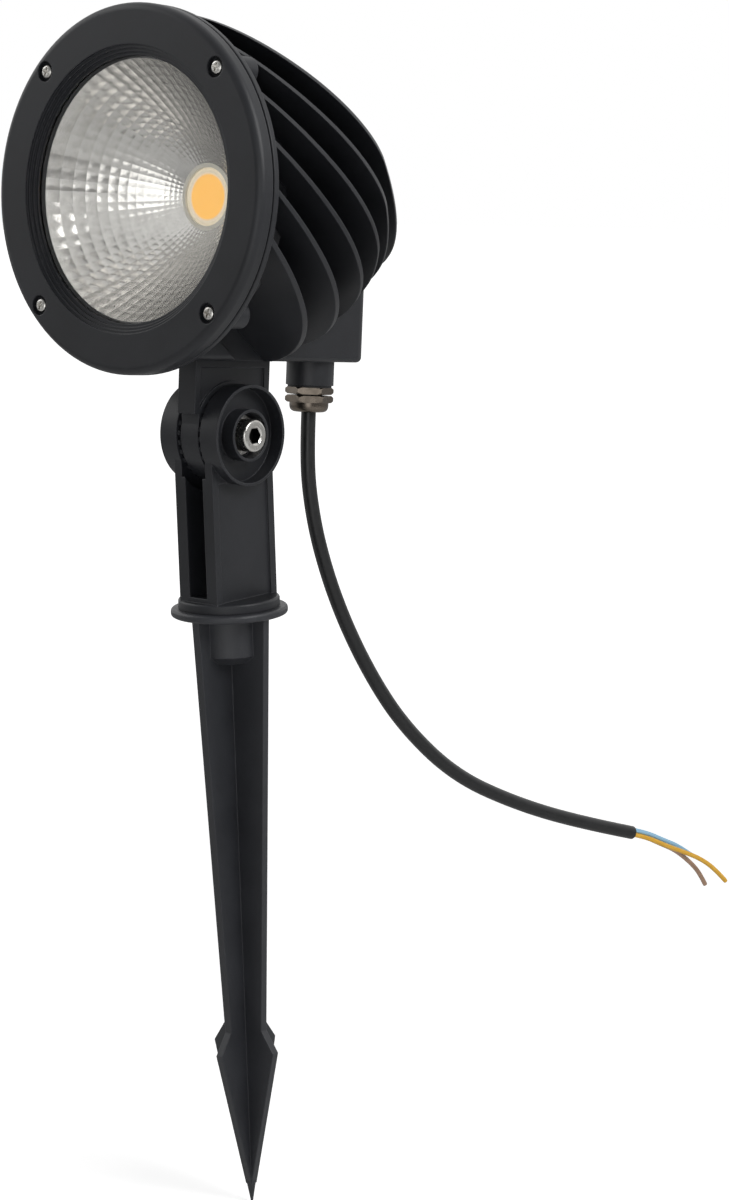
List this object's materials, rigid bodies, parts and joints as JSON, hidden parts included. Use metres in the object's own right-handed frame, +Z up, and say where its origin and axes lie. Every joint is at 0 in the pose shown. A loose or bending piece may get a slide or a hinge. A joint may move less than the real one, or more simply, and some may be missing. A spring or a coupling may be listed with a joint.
{
  "type": "garden spike spotlight",
  "caption": "Black outdoor spotlight with a finned head, a tilting and swivelling post, a ground spike and a short lead with bare ends.",
  "frame": {"origin": "middle of the underside of the spike's collar, which is level with the ground, on the post's swivel axis", "axes": "+Z up along the post, -Y the way the lamp shines, +X to the lamp's left"},
  "size_m": [0.1436, 0.3204, 0.5006],
  "materials": {
    "black_coat": "satin powder coat",
    "black_plastic": "matte",
    "steel": "satin",
    "seal_rubber": "matte",
    "clear_glass": "clear",
    "reflector_metal": "polished",
    "pad_grey": "matte",
    "source_metal": "satin",
    "phosphor_yellow": "satin",
    "white_plastic": "satin",
    "board_green": "gloss",
    "ferrite": "matte",
    "capacitor_black": "gloss",
    "terminal_green": "matte",
    "lead_white": "satin",
    "lead_red": "satin",
    "nickel": "nickel plated",
    "cord_rubber": "satin",
    "core_brown": "satin",
    "core_blue": "satin",
    "core_yellow_green": "satin",
    "insert_brass": "satin"
  },
  "bodies": {
    "stake": {"ground_spike": "black_plastic", "threaded_insert": "insert_brass", "swivel_screw": "steel", "swivel_washer": "steel"},
    "fork": {"fork_post": "black_coat", "pivot_bolt": "steel", "pivot_washers": "steel", "pivot_nut": "steel", "cord_jacket": "cord_rubber", "core_brown": "core_brown", "core_blue": "core_blue", "core_yellow_green": "core_yellow_green"},
    "head": {"bezel_ring": "black_coat", "bezel_screws": "steel", "front_gasket": "seal_rubber", "glass_lens": "clear_glass", "reflector": "reflector_metal", "housing": "black_coat", "cooling_fins": "black_coat", "fin_web": "black_coat", "thermal_pad": "pad_grey", "source_plate": "source_metal", "source_phosphor": "phosphor_yellow", "source_holder": "white_plastic", "holder_screws": "steel", "driver_board": "board_green", "driver_screws": "steel", "driver_transformer": "ferrite", "driver_capacitors": "capacitor_black", "terminal_strip": "terminal_green", "supply_leads": "lead_white", "led_leads": "lead_red", "tilt_bracket": "black_coat", "bracket_screws": "steel", "gland_ring": "seal_rubber", "gland_body": "nickel", "gland_seal": "seal_rubber", "gland_nut": "nickel", "cord_entry": "cord_rubber"}
  },
  "joints": [
    {"name": "post_swivel", "type": "hinge", "parent": "stake", "child": "fork", "pos_m": [0, 0, 0.0033], "axis": [0, 0, 1], "range_deg": [-180, 180]},
    {"name": "head_tilt", "type": "hinge", "parent": "fork", "child": "head", "pos_m": [0, 0, 0.0743], "axis": [1, 0, 0], "range_deg": [-54, 96], "deforming": ["cord_jacket"]}
  ]
}
